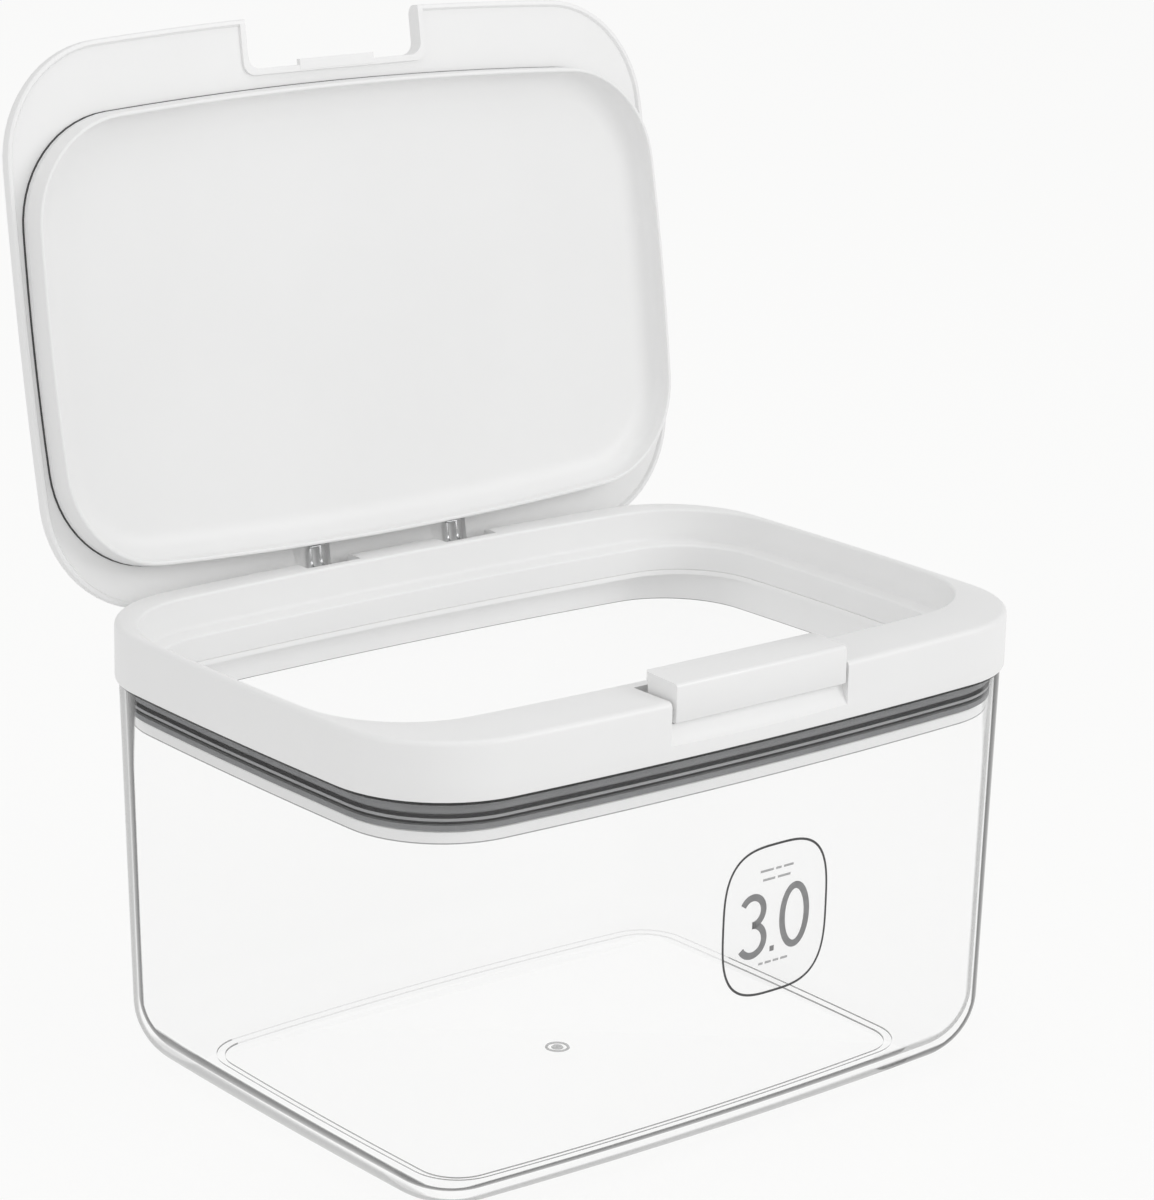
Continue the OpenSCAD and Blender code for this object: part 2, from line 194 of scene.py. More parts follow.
def soft_edge(make, inset0, z0, inset1, z1, steps=5):
    """Quarter turn from (inset0, z0) to (inset1, z1), leaving the first point vertically."""
    rings = []
    for k in range(steps + 1):
        a = math.pi / 2 * k / steps
        rings.append((make(inset0 + (inset1 - inset0) * (1 - math.cos(a))), z0 + (z1 - z0) * math.sin(a)))
    return rings


def soft_edge_flat(make, inset0, z0, inset1, z1, steps=5):
    """The same turn, but leaving the first point level."""
    rings = []
    for k in range(steps + 1):
        a = math.pi / 2 * k / steps
        rings.append((make(inset0 + (inset1 - inset0) * math.sin(a)), z0 + (z1 - z0) * (1 - math.cos(a))))
    return rings


print("helpers ready")

# %% [markdown]
# ## White plastic
# Moulded white plastic is never one flat colour: it has a very faint mottling, a fine
# spark-eroded grain and a slightly uneven gloss. Noise textures in the object's own space
# give all three without any picture file. The white stays under full white, so that the
# shading still shows.

# %% White plastic
def noise(nodes, links, scale, detail=3.0, coords=None):
    tex = nodes.new("ShaderNodeTexNoise")
    tex.inputs["Scale"].default_value = scale
    tex.inputs["Detail"].default_value = detail
    links.new(coords, tex.inputs["Vector"])
    return tex.outputs["Fac"]


def ramp(nodes, links, source, stops):
    node = nodes.new("ShaderNodeValToRGB")
    while len(node.color_ramp.elements) < len(stops):
        node.color_ramp.elements.new(0.5)
    for element, (at, colour) in zip(node.color_ramp.elements, stops):
        element.position = at
        element.color = (*colour, 1) if len(colour) == 3 else colour
    links.new(source, node.inputs["Fac"])
    return node.outputs["Color"]


def spread(nodes, links, source, low, high):
    node = nodes.new("ShaderNodeMapRange")
    node.inputs["To Min"].default_value = low
    node.inputs["To Max"].default_value = high
    links.new(source, node.inputs["Value"])
    return node.outputs["Result"]


def bump(nodes, links, source, shader, strength, distance):
    node = nodes.new("ShaderNodeBump")
    node.inputs["Strength"].default_value = strength
    node.inputs["Distance"].default_value = distance
    links.new(source, node.inputs["Height"])
    links.new(node.outputs["Normal"], shader.inputs["Normal"])


def new_material(name):
    mat = bpy.data.materials.new(name)
    mat.use_nodes = True
    nodes, links = mat.node_tree.nodes, mat.node_tree.links
    shader = nodes["Principled BSDF"]
    coords = nodes.new("ShaderNodeTexCoord").outputs["Object"]
    return mat, nodes, links, shader, coords


def white_plastic(name, dark, light, rough, grain=0.08):
    mat, nodes, links, shader, coords = new_material(name)
    links.new(ramp(nodes, links, noise(nodes, links, 14, 4, coords), [(0.3, dark), (0.7, light)]),
              shader.inputs["Base Color"])
    links.new(spread(nodes, links, noise(nodes, links, 60, 3, coords), rough - 0.05, rough + 0.05),
              shader.inputs["Roughness"])
    shader.inputs["IOR"].default_value = 1.5
    bump(nodes, links, noise(nodes, links, 2500, 2, coords), shader, grain, 0.00003)
    return mat


satin_white = white_plastic("satin white plastic", (0.87, 0.87, 0.867), (0.895, 0.895, 0.892), 0.38)
lid_white = white_plastic("lid liner plastic", (0.86, 0.86, 0.857), (0.885, 0.885, 0.882), 0.42)
gloss_white = white_plastic("button plastic", (0.875, 0.875, 0.872), (0.895, 0.895, 0.892), 0.26, 0.04)
# The skirt's white is lighter than the collar's as painted light, lifting the shade that falls under the
# collar.
skirt_white_painted_light = white_plastic("skirt plastic with painted light", (0.93, 0.93, 0.927), (0.95, 0.95, 0.947), 0.4)
# Painted shade: a dark grey for the thin shadow line along the skirt's lower edge.
skirt_edge_painted_shade = white_plastic("skirt's lower edge", (0.36, 0.36, 0.36), (0.40, 0.40, 0.40), 0.5)
print("white plastics:", satin_white.name, lid_white.name, gloss_white.name, skirt_edge_painted_shade.name)

# %% [markdown]
# ## Clear plastic
# A thin clear wall hardly bends the view through it, and shows mostly by its edges, where
# light crosses a long way of plastic. Real refraction would show that too, but it is slow
# and it smears the gasket behind the round corners. So the wall is see-through by its
# alpha, which rises with Layer Weight as the wall turns away from the eye. The inner skin
# gets the dark line, the outer skin a grey band, as on a moulded tub.

# %% Clear plastic
def clear_plastic(name, face, edge, turn, alphas):
    """Face and edge are greys; turn is where the edge starts and is full; alphas go with them."""
    mat, nodes, links, shader, coords = new_material(name)
    shader.inputs["IOR"].default_value = 1.45
    links.new(spread(nodes, links, noise(nodes, links, 30, 2, coords), 0.04, 0.07),
              shader.inputs["Roughness"])
    facing = nodes.new("ShaderNodeLayerWeight")
    facing.inputs["Blend"].default_value = 0.5
    start, full = turn
    tints = [(0.0, (face, face, face)), (start, (face, face, face)), ((start + full) / 2, (edge, edge, edge)),
             (1.0, (edge, edge, edge))]
    links.new(ramp(nodes, links, facing.outputs["Facing"], tints), shader.inputs["Base Color"])
    middle, half, rim = alphas
    cover = [(0.0, (middle, middle, middle)), (start, (middle, middle, middle)), (full, (half, half, half)),
             (1.0, (rim, rim, rim))]
    links.new(ramp(nodes, links, facing.outputs["Facing"], cover), shader.inputs["Alpha"])
    bump(nodes, links, noise(nodes, links, 9, 2, coords), shader, 0.04, 0.0004)
    clear = nodes.new("ShaderNodeBsdfTransparent")
    clear.inputs["Color"].default_value = (0.97, 0.975, 0.975, 1)
    path = nodes.new("ShaderNodeLightPath")
    mix = nodes.new("ShaderNodeMixShader")
    links.new(path.outputs["Is Shadow Ray"], mix.inputs[0])
    links.new(shader.outputs[0], mix.inputs[1])
    links.new(clear.outputs[0], mix.inputs[2])
    links.new(mix.outputs[0], nodes["Material Output"].inputs["Surface"])
    return mat


outer_skin_clear = clear_plastic("clear outer skin", 0.93, 0.26, (0.67, 0.73), (0.025, 0.38, 0.72))
inner_skin_clear = clear_plastic("clear inner skin", 0.93, 0.01, (0.70, 0.745), (0.03, 0.97, 0.99))
# Painted shade: the panel's steps are coloured near black for the dark lines clear steps show, fainter at the
# back.
panel_line_painted_shade = clear_plastic("painted shade on panel step", 0.10, 0.08, (0.5, 0.9), (0.72, 0.8, 0.8))
faint_panel_line_painted_shade = clear_plastic("faint painted shade on panel step", 0.45, 0.4, (0.5, 0.9), (0.22, 0.25, 0.3))
# Painted shadow: the tub's top band is coloured near black for the shadow under the collar.
tub_top_painted_shadow = clear_plastic("painted shadow on the tub's top edge", 0.015, 0.01, (0.5, 0.9), (0.94, 0.95, 0.97))
# Painted shade: the gate mark's rings are coloured grey for the line the ridge shows.
gate_mark_painted_shade = clear_plastic("gate mark, painted shade", 0.45, 0.40, (0.5, 0.9), (0.5, 0.55, 0.6))
clear_film = clear_plastic("clear label film", 0.93, 0.4, (0.8, 0.97), (0.04, 0.3, 0.5))
print("clear plastics:", outer_skin_clear.name, inner_skin_clear.name, clear_film.name)

# %% [markdown]
# ## Rubber, steel and ink
# The gasket is a dark grey silicone with a dry, slightly mottled face. Its middle lip is
# paler as a painted highlight, and its grooves are nearly black as painted shade; the same
# near-black painted shade draws the thin line at the root of the lid's plug. The pins and
# springs are bright drawn wire, so their noise is stretched into fine lines. The label is
# printed in three greys, each with a little unevenness, as screen ink has.

# %% Rubber, steel and ink
def grey_rubber(name, dark, light):
    mat, nodes, links, shader, coords = new_material(name)
    links.new(ramp(nodes, links, noise(nodes, links, 120, 4, coords), [(0.3, dark), (0.7, light)]),
              shader.inputs["Base Color"])
    links.new(spread(nodes, links, noise(nodes, links, 300, 3, coords), 0.5, 0.68),
              shader.inputs["Roughness"])
    bump(nodes, links, noise(nodes, links, 1800, 3, coords), shader, 0.15, 0.00005)
    return mat


def bright_steel(name):
    mat, nodes, links, shader, coords = new_material(name)
    shader.inputs["Metallic"].default_value = 1.0
    stretch = nodes.new("ShaderNodeMapping")
    stretch.inputs["Scale"].default_value = (1, 14, 14)
    links.new(coords, stretch.inputs["Vector"])
    lines = noise(nodes, links, 400, 3, stretch.outputs["Vector"])
    links.new(ramp(nodes, links, lines, [(0.3, (0.74, 0.75, 0.76)), (0.7, (0.88, 0.885, 0.89))]),
              shader.inputs["Base Color"])
    links.new(spread(nodes, links, lines, 0.18, 0.32), shader.inputs["Roughness"])
    bump(nodes, links, lines, shader, 0.1, 0.00003)
    return mat


def print_ink(name, dark, light):
    mat, nodes, links, shader, coords = new_material(name)
    links.new(ramp(nodes, links, noise(nodes, links, 600, 3, coords), [(0.3, dark), (0.7, light)]),
              shader.inputs["Base Color"])
    links.new(spread(nodes, links, noise(nodes, links, 200, 2, coords), 0.45, 0.6),
              shader.inputs["Roughness"])
    bump(nodes, links, noise(nodes, links, 3000, 2, coords), shader, 0.1, 0.00002)
    return mat


gasket_rubber = grey_rubber("dark grey gasket rubber", (0.215, 0.218, 0.222), (0.25, 0.253, 0.257))
# The middle lip's paler grey is a painted highlight.
middle_lip_painted_highlight = grey_rubber("middle lip, painted highlight", (0.33, 0.333, 0.337), (0.38, 0.383, 0.387))
# Near-black painted shade for the gasket's grooves and the seam at the plug's root.
painted_shade_rubber = grey_rubber("painted shade in grooves and seam", (0.055, 0.055, 0.056), (0.07, 0.07, 0.071))
seal_rubber = grey_rubber("pale seal rubber", (0.76, 0.76, 0.765), (0.80, 0.80, 0.805))
steel = bright_steel("bright spring steel")
ink = print_ink("grey print", (0.22, 0.22, 0.222), (0.26, 0.26, 0.262))
dark_ink = print_ink("dark outline print", (0.05, 0.05, 0.051), (0.07, 0.07, 0.071))
pale_ink = print_ink("pale small print", (0.40, 0.40, 0.402), (0.45, 0.45, 0.452))
print("other finishes:", gasket_rubber.name, seal_rubber.name, steel.name, ink.name)

# %% [markdown]
# ## The clear tub
# A tub like this is moulded with a slight taper, so that it slides off its core, and a
# generous round foot. It could be a box with a Solidify modifier, but the inside radius
# of a moulding is not the outside radius, so both skins are drawn as one closed section:
# up the outside, over the lip, down the inside and across the two steps of the floor
# panel. The panel's steps are coloured near black as painted shade, standing for the dark
# lines the clear steps show, and this painted shade fades towards the back. The lip's top
# band is coloured near black too, as the painted shadow under the collar. Past SWAP_X the
# two skins trade their finishes, because there the outer skin is the one that shows the
# dark edge.

# %% The clear tub
WALL, FLOOR, FOOT, STEP = 1.5, 3.0, 17.5, 1.0
PANEL_W, PANEL_D, PANEL_R = 152.5, 108, 11
FAINT_X, FAINT_Y, SWAP_X = -66, 12, 60
TAPER_X, TAPER_Y, FOOT_CORNER = 7.6, 1.0, 22.0


def tub_outline(z, inset, squeeze):
    low = 1 - z / COLLAR_Z
    w = BODY_W - 2 * (STEP + inset + low * TAPER_X + squeeze)
    d = BODY_D - 2 * (STEP + inset + low * TAPER_Y + squeeze)
    return w, d


def tub_ring(z, inset, squeeze):
    w, d = tub_outline(z, inset, squeeze)
    return outline(w, d, FOOT_CORNER - inset - squeeze)


def tub_skin(inset, z0, r, z1, steps=12):
    rings = []
    for k in range(steps + 1):
        a = math.pi / 2 * k / steps
        z = z0 + r * (1 - math.cos(a))
        rings.append((tub_ring(z, inset, r * (1 - math.sin(a))), z))
    top_w, top_d = BODY_W - 2 * (STEP + inset), BODY_D - 2 * (STEP + inset)
    low_r = FOOT_CORNER - inset
    top_r = CORNER - STEP - inset
    z_start = z0 + r
    w0, d0 = tub_outline(z_start, inset, 0)
    for k in range(1, 5):
        t = k / 4
        rings.append((outline(w0 + (top_w - w0) * t, d0 + (top_d - d0) * t, low_r + (top_r - low_r) * t),
                      z_start + (z1 - z_start) * t))
    return rings


outer = tub_skin(0, 0, FOOT, COLLAR_Z - 0.9)
inner = tub_skin(WALL, FLOOR, FOOT - WALL, COLLAR_Z - 0.3)
lip_out, lip_in = shell(STEP + 0.1), shell(STEP + WALL - 0.25)
section = outer + [(lip_out, COLLAR_Z), (lip_in, COLLAR_Z)] + inner[::-1]
top_from = len(outer) - 1
inner_from = len(outer) + 1
section += [(outline(PANEL_W + 4.4, PANEL_D + 4.4, PANEL_R + 2.2), FLOOR),
            (outline(PANEL_W + 4.2, PANEL_D + 4.2, PANEL_R + 2.1), FLOOR - 0.35),
            (outline(PANEL_W, PANEL_D, PANEL_R), FLOOR - 0.37),
            (outline(PANEL_W - 0.2, PANEL_D - 0.2, PANEL_R - 0.1), FLOOR - 0.8)]
bm = bmesh.new()
add_rings(bm, section, closed=False)
bm.faces.ensure_lookup_table()
around = len(lip_out)
for row in range(len(section) - 1):
    # Kind 3 is the lip's top band, painted dark as the shadow under the collar; kind 2 is the panel's steps,
    # painted dark as shade.
    kind = 0 if row < top_from else 3 if row < inner_from else 1
    if row in (len(section) - 4, len(section) - 2):
        kind = 2
    for k in range(around):
        x, y = section[row][0][k]
        at_back = kind == 2 and y > FAINT_Y and x > FAINT_X
        to_right = kind < 2 and x > SWAP_X
        bm.faces[row * around + k].material_index = 4 if at_back else 1 - kind if to_right else kind
bm.faces[-1].material_index = 1
tub = finish_mesh("clear_tub", bm, 40)
for mat in (outer_skin_clear, inner_skin_clear, panel_line_painted_shade, tub_top_painted_shadow, faint_panel_line_painted_shade):
    tub.data.materials.append(mat)
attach(tub, "box")
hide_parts("clear_box")
print("tub faces:", len(tub.data.polygons))

# %% [markdown]
# ## The gate mark
# Where the plastic entered the mould, the floor keeps a small ring with a dot. It is a
# low ridge, so it is made as two small swept rings, coloured grey as painted shade for the
# line the ridge shows.

# %% The gate mark
def low_ring(bm, x, y, z, radius, half, height, steps=40):
    rows = []
    for k in range(steps):
        a = 2 * math.pi * k / steps
        rows.append([bm.verts.new(((x + rr * math.cos(a)) * MM, (y + rr * math.sin(a)) * MM, (z + h) * MM))
                     for rr, h in ((radius - half, 0), (radius - half * 0.5, height),
                                   (radius + half * 0.5, height), (radius + half, 0))])
    for k in range(steps):
        a, b = rows[k], rows[(k + 1) % steps]
        for i in range(4):
            bm.faces.new((a[i], b[i], b[(i + 1) % 4], a[(i + 1) % 4]))


bm = bmesh.new()
low_ring(bm, 0, 0, FLOOR - 0.79, 2.9, 0.4, 0.3)
low_ring(bm, 0, 0, FLOOR - 0.79, 0.85, 0.8, 0.35)
gate = finish_mesh("gate_mark", bm, 60)
gate.data.materials.append(gate_mark_painted_shade)
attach(gate, "box")
print("gate mark faces:", len(gate.data.polygons))

# %% [markdown]
# ## The collar
# The collar is one white moulding: a tall outer skin, a broad rim at the front, a stepped
# mouth that the lid's plug drops into, and a hollow underneath. Its section is swept
# round the outline with soft edges, and the well for the button, the finger scoop and
# the two hinge pockets are then cut out with booleans, as the mould's inserts would.

# %% The collar's section
LEDGE_Z, NECK_Z, LEDGE_W, NECK_T = RIM_Z - 8.9, RIM_Z - 16.0, 5.4, 1.3
section = [(shell(0.3), COLLAR_Z)]
section += [(shell(0.08), COLLAR_Z + 0.1), (shell(0.0), COLLAR_Z + 0.35)]
section += [(shell(0.0), COLLAR_Z + 5), (shell(0.0), RIM_Z - 4)]
section += soft_edge(shell, 0.0, RIM_Z - 1.4, 1.4, RIM_Z, 7)
section += soft_edge_flat(mouth, -0.7, RIM_Z, 0.0, RIM_Z - 0.7, 4)
section += [(mouth(0.0), LEDGE_Z + 1.2)]
section += [(mouth(0.15), LEDGE_Z + 0.5), (mouth(0.5), LEDGE_Z + 0.15), (mouth(1.2), LEDGE_Z)]
section += soft_edge_flat(mouth, LEDGE_W - 0.7, LEDGE_Z, LEDGE_W, LEDGE_Z - 0.7, 4)
section += [(mouth(LEDGE_W), NECK_Z + 0.3), (mouth(LEDGE_W - 0.25), NECK_Z)]
section += [(mouth(LEDGE_W - NECK_T), NECK_Z), (mouth(LEDGE_W - NECK_T), COLLAR_Z + 0.02)]
section += [(mouth(3.0), COLLAR_Z + 0.05), (mouth(3.0), LEDGE_Z - 2)]
section += [(shell(3.2), LEDGE_Z - 2), (shell(3.2), COLLAR_Z)]
collar = swept("collar_ring", section)
collar.data.materials.append(satin_white)
print("collar faces before cutting:", len(collar.data.polygons))

# %% [markdown]
# ## Cutters
# A boolean needs closed cutters. They are plain blocks and extruded sections, a little
# larger than the hole on the open side so that no face lies exactly on another, and they
# are removed again once they have cut.

# %% Cut with blocks and sections
def prism(name, points, x0, x1):
    """Extrudes a (y, z) section along X."""
    bm = bmesh.new()
    rows = [[bm.verts.new((x * MM, y * MM, z * MM)) for y, z in points] for x in (x0, x1)]
    n = len(points)
    for k in range(n):
        bm.faces.new((rows[0][k], rows[0][(k + 1) % n], rows[1][(k + 1) % n], rows[1][k]))
    bm.faces.new(rows[0])
    bm.faces.new(rows[1])
    return finish_mesh(name, bm, 20)


def block(name, low, high):
    return prism(name, [(low[1], low[2]), (high[1], low[2]), (high[1], high[2]), (low[1], high[2])],
                 low[0], high[0])


def open_with_lid(obj):
    for v in obj.data.vertices:
        v.co = turned_open(v.co)
    obj.data.update()
    return obj


def combine(target, tools, operation):
    for tool in tools:
        mod = target.modifiers.new("cut", "BOOLEAN")
        mod.operation = operation
        mod.solver = "EXACT"
        mod.object = tool
        bpy.context.view_layer.objects.active = target
        with bpy.context.temp_override(object=target, active_object=target):
            bpy.ops.object.modifier_apply(modifier=mod.name)
        bpy.data.objects.remove(tool, do_unlink=True)
    bm = bmesh.new()
    bm.from_mesh(target.data)
    bmesh.ops.dissolve_degenerate(bm, edges=bm.edges, dist=1e-7)
    for f in bm.faces:
        f.smooth = True
    for e in bm.edges:
        e.smooth = not (len(e.link_faces) == 2 and e.calc_face_angle(0) > math.radians(35))
    bm.to_mesh(target.data)
    bm.free()
    return target


FRONT_Y, BACK_Y = -BODY_D / 2, BODY_D / 2
BUTTON_W, BUTTON_TOP, BUTTON_H, BUTTON_D = 54.8, RIM_Z + 4.3, 9.8, 12.8
BUTTON_Z, BUTTON_BACK = BUTTON_TOP - BUTTON_H, FRONT_Y + BUTTON_D
WELL, WELL_Z = BUTTON_W / 2 + 1.1, BUTTON_Z - 0.9
HINGE_X, WINDOW, EAR_T, KNUCKLE, WINDOW_Y = 22.9, 11.8, 2.4, 2.6, BACK_Y - 11.2
SLOT = WINDOW / 2 + EAR_T + 0.35
SLOT_Y = AXIS_Y - KNUCKLE - 1
cutters = [block("well", (-WELL, FRONT_Y - 1, WELL_Z), (WELL, FRONT_Y + BUTTON_D + 2, RIM_Z + 2)),
           prism("scoop", [(FRONT_Y - 1, WELL_Z + 1), (FRONT_Y + 2.6, WELL_Z + 1), (FRONT_Y + 2.6, WELL_Z),
                           (FRONT_Y + 1.6, WELL_Z - 2.4), (FRONT_Y + 0.6, WELL_Z - 4.3),
                           (FRONT_Y, WELL_Z - 5), (FRONT_Y - 1, WELL_Z - 5)], -WELL, WELL)]
for s in (-1, 1):
    cutters.append(block("pocket", (s * HINGE_X - SLOT, SLOT_Y, LEDGE_Z),
                         (s * HINGE_X + SLOT, BACK_Y + 5, RIM_Z + 5)))
combine(collar, cutters, "DIFFERENCE")
print("collar faces after cutting:", len(collar.data.polygons))

# %% [markdown]
# ## The hinge lugs
# Each pocket holds a lug of the collar that the steel pin passes through. A lug is a
# round eye on a flat web, extruded along the axis, and is joined to the collar's mesh.

# %% The hinge lugs
def eye_section(web_low, web_high, back_reach, steps=20):
    points = []
    start = -math.pi / 2 if web_low < 0 else 0
    if web_low < 0:
        for k in range(steps + 1):
            a = math.pi * k / steps
            points.append((AXIS_Y + KNUCKLE * math.cos(a), AXIS_Z + KNUCKLE * math.sin(a)))
        points += [(AXIS_Y - KNUCKLE, AXIS_Z + web_low), (AXIS_Y + back_reach, AXIS_Z + web_low)]
        reach = math.acos(back_reach / KNUCKLE)
        for k in range(6):
            a = -reach + (reach) * k / 6
            points.append((AXIS_Y + KNUCKLE * math.cos(a), AXIS_Z + KNUCKLE * math.sin(a)))
    else:
        for k in range(steps + 1):
            a = -math.pi * k / steps
            points.append((AXIS_Y + KNUCKLE * math.cos(a), AXIS_Z + KNUCKLE * math.sin(a)))
        points += [(AXIS_Y - KNUCKLE, AXIS_Z + web_high), (AXIS_Y + back_reach, AXIS_Z + web_high)]
        reach = math.acos(back_reach / KNUCKLE)
        for k in range(6):
            a = reach - reach * k / 6
            points.append((AXIS_Y + KNUCKLE * math.cos(a), AXIS_Z + KNUCKLE * math.sin(a)))
    clean = []
    for p in points:
        if not clean or math.dist(p, clean[-1]) > 1e-4:
            clean.append(p)
    return clean if math.dist(clean[0], clean[-1]) > 1e-4 else clean[:-1]


def join(target, others):
    for other in others:
        bm = bmesh.new()
        bm.from_mesh(target.data)
        bm.from_mesh(other.data)
        bm.to_mesh(target.data)
        bm.free()
        bpy.data.objects.remove(other, do_unlink=True)
    return target


lugs = []
for s in (-1, 1):
    x0 = s * HINGE_X - WINDOW / 2 + 0.3
    lugs.append(prism("lug", eye_section(LEDGE_Z - AXIS_Z + 0.01, 0, 2.2), x0, x0 + WINDOW / 2 - 1.2))
join(collar, lugs)
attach(collar, "collar")
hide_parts("collar")
print("collar faces:", len(collar.data.polygons))

# %% [markdown]
# ## The skirt ring and its gasket
# Under the collar a white skirt drops inside the tub and carries the dark grey gasket.
# The skirt's white is lighter than the collar's, as painted light against the shade under
# the collar, and its lowest faces carry a painted shade line. Seen through the clear wall
# they are the darkest part of the picture, so the gasket gets its three real lips, with
# round edges; on top of them its grooves carry painted shade and its middle lip a painted
# highlight.

# %% The skirt ring and its gasket
SKIRT_Z, SKIRT_T = RIM_Z - 26.4, 1.3
GASKET_IN = STEP + 2.2 + 0.8
SKIRT_IN = GASKET_IN + 1
GASKET_H = 8.0
top = COLLAR_Z - 0.3
base = top - GASKET_H
section = [(shell(GASKET_IN + 0.4), SKIRT_Z), (shell(GASKET_IN + 0.2), SKIRT_Z + 0.08),
           (shell(GASKET_IN + 0.2), SKIRT_Z + 0.38),
           (shell(GASKET_IN + 0.2), base - 0.3), (shell(GASKET_IN + 0.5), base),
           (shell(SKIRT_IN), base), (shell(SKIRT_IN), top),
           (shell(SKIRT_IN + SKIRT_T), top), (shell(SKIRT_IN + SKIRT_T), NECK_Z),
           (mouth(LEDGE_W), NECK_Z), (mouth(LEDGE_W), NECK_Z - SKIRT_T),
           (shell(SKIRT_IN + SKIRT_T), NECK_Z - SKIRT_T), (shell(SKIRT_IN + SKIRT_T), SKIRT_Z + 0.3),
           (shell(SKIRT_IN + SKIRT_T - 0.3), SKIRT_Z)]
skirt = swept("skirt", section)
skirt.data.materials.append(skirt_white_painted_light)
skirt.data.materials.append(skirt_edge_painted_shade)
# The lowest faces of the skirt get the painted shade line.
for face in skirt.data.polygons:
    if all(skirt.data.vertices[i].co.z < (SKIRT_Z + 0.4) * MM for i in face.vertices):
        face.material_index = 1
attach(skirt, "collar")
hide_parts("skirt_ring")
section = [(shell(SKIRT_IN), base)]
LIPS = ((0.0, 1.9), (2.5, 3.5), (4.1, 8.0))
LIP_REACH = 1.5
for low, high in LIPS:
    for j in range(9):
        a = math.pi * j / 8
        reach = LIP_REACH * min(1.0, 1.6 * math.sin(a))
        height = base + (low + high) / 2 - (high - low) / 2 * math.cos(a)
        section.append((shell(SKIRT_IN - 0.05 - reach), height))
section.append((shell(SKIRT_IN), top))
gasket = swept("gasket", section)
for mat in (gasket_rubber, middle_lip_painted_highlight, painted_shade_rubber):
    gasket.data.materials.append(mat)
# Grooves get painted shade, the middle lip a painted highlight.
for face in gasket.data.polygons:
    height = face.center.z / MM - base
    lip = [k for k, (low, high) in enumerate(LIPS) if low + 0.12 < height < high - 0.12]
    face.material_index = 2 if not lip else 1 if lip[0] == 1 else 0
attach(gasket, "collar")
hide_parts("box_gasket")
print("skirt faces:", len(skirt.data.polygons), "gasket faces:", len(gasket.data.polygons))

# %% [markdown]
# ## The lid
# The lid's cover is drawn closed, where its shape is simple, and then turned open about
# the hinge with one small function. Its underside has a fine raised lip all round, also
# along the notch for the button, which is what catches the light in the photograph.

# %% The lid's cover
LID_Z = RIM_Z + 0.3
LID_TOP, MARGIN_Z = LID_Z + 4.5, LID_Z + 0.7
LIP = 1.6
section = [(shell(LIP + 0.1), MARGIN_Z), (shell(LIP - 0.15), MARGIN_Z - 0.35), (shell(LIP - 0.5), LID_Z)]
section += [(shell(0.35), LID_Z), (shell(0.1), LID_Z + 0.12), (shell(0.0), LID_Z + 0.4)]
for k in range(8):
    a = math.pi / 2 * k / 7
    section.append((shell(3.0 * (1 - math.cos(a))), LID_TOP - 2.4 + 2.4 * math.sin(a)))
cover = swept("lid_cover_shell", section, closed=False)


def notch_section(grow, steps=8):
    half, end, r = WELL - 0.4 + grow, BUTTON_BACK + 0.6 + grow, 3.4
    points = [(-half, FRONT_Y - 3), (half, FRONT_Y - 3)]
    for k in range(steps + 1):
        a = math.pi / 2 * k / steps
        points.append((half - r + r * math.cos(a), end - r + r * math.sin(a)))
    for k in range(steps + 1):
        a = math.pi / 2 + math.pi / 2 * k / steps
        points.append((-half + r + r * math.cos(a), end - r + r * math.sin(a)))
    return points


def upright(name, points, z0, z1):
    bm = bmesh.new()
    rows = [[bm.verts.new((x * MM, y * MM, z * MM)) for x, y in points] for z in (z0, z1)]
    n = len(points)
    for k in range(n):
        bm.faces.new((rows[0][k], rows[0][(k + 1) % n], rows[1][(k + 1) % n], rows[1][k]))
    bm.faces.new(rows[0])
    bm.faces.new(rows[1])
    return finish_mesh(name, bm, 20)


frame_piece = upright("notch_lip", notch_section(LIP), LID_Z, MARGIN_Z + 0.5)
outer_skin = swept("lip_limit", [(shell(0.35), LID_Z - 1), (shell(0.35), MARGIN_Z + 1)], closed=False)
limit = frame_piece.modifiers.new("limit", "BOOLEAN")
limit.operation, limit.solver, limit.object = "INTERSECT", "EXACT", outer_skin
bpy.context.view_layer.objects.active = frame_piece
with bpy.context.temp_override(object=frame_piece, active_object=frame_piece):
    bpy.ops.object.modifier_apply(modifier="limit")
bpy.data.objects.remove(outer_skin, do_unlink=True)
combine(cover, [frame_piece], "UNION")
cuts = [upright("notch", notch_section(0), LID_Z - 2, LID_TOP + 2)]
for s in (-1, 1):
    cuts.append(block("window", (s * HINGE_X - WINDOW / 2, WINDOW_Y, LID_Z - 1),
                      (s * HINGE_X + WINDOW / 2, BACK_Y + 1, LID_Z + 2.6)))
cuts.append(swept("seam", [(plug(-0.35), MARGIN_Z - 1), (plug(0.5), MARGIN_Z - 1),
                           (plug(0.5), MARGIN_Z + 0.9), (plug(-0.35), MARGIN_Z + 0.9)]))
combine(cover, cuts, "DIFFERENCE")
combine(cover, [block("tab", (-12, BUTTON_BACK + 0.6 - 1.6, LID_Z - 0.1),
                      (12, BUTTON_BACK + 0.6 + 1.2, MARGIN_Z + 0.7))], "UNION")
parts = []
for s in (-1, 1):
    for j in (-1, 1):
        x = s * HINGE_X + j * (WINDOW + EAR_T) / 2
        parts.append(prism("ear", eye_section(0, MARGIN_Z - AXIS_Z + 0.2, 2.2), x - EAR_T / 2, x + EAR_T / 2))
join(cover, parts)
open_with_lid(cover)
cover.data.materials.append(satin_white)
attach(cover, "lid")
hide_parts("lid_cover")
print("lid cover faces:", len(cover.data.polygons))

